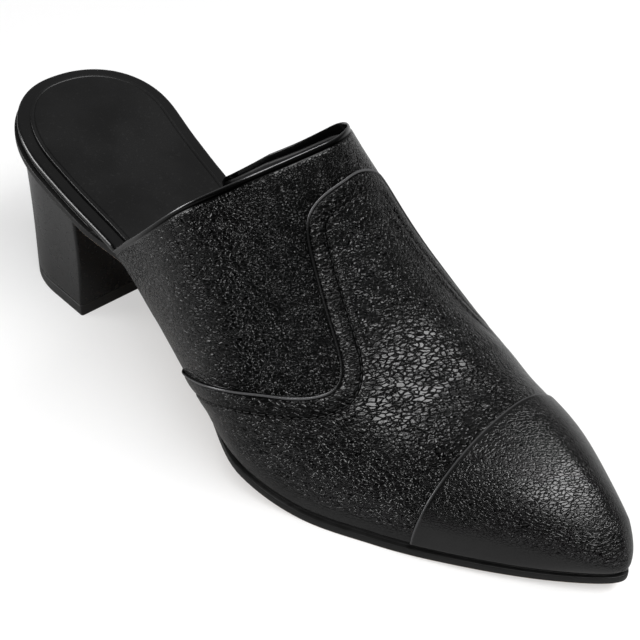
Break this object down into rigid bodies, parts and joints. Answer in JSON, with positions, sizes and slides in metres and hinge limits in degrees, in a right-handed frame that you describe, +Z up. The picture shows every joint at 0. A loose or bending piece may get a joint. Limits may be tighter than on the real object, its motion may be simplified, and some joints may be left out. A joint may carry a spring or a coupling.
{
  "type": "mule shoe",
  "caption": "Pointed-toe leather mule for the right foot, with an open back, a raised vamp seam, a toe cap and a leather-covered block heel.",
  "frame": {"origin": "on the floor, below the middle of the shoe's box", "axes": "+X from the heel to the toe, +Y to the inner side of the foot, +Z up"},
  "size_m": [0.2496, 0.0918, 0.0963],
  "materials": {
    "sole_leather": "sole leather, black edge dressing, matte",
    "heel_leather": "smooth black calf, satin gloss",
    "lift_rubber": "hard black rubber, satin",
    "rim_leather": "smooth black leather over the insole's edge",
    "sock_leather": "smooth black sock leather, satin",
    "upper_leather": "pebble-grained black leather, semi-gloss",
    "cap_leather": "fine-grained black leather, semi-gloss"
  },
  "bodies": {
    "root": {"outsole": "sole_leather", "heel_block": "heel_leather", "top_piece": "lift_rubber", "insole": "rim_leather", "sock_lining": "sock_leather", "upper": "upper_leather", "vamp_band": "upper_leather", "toe_cap": "cap_leather"}
  },
  "joints": []
}
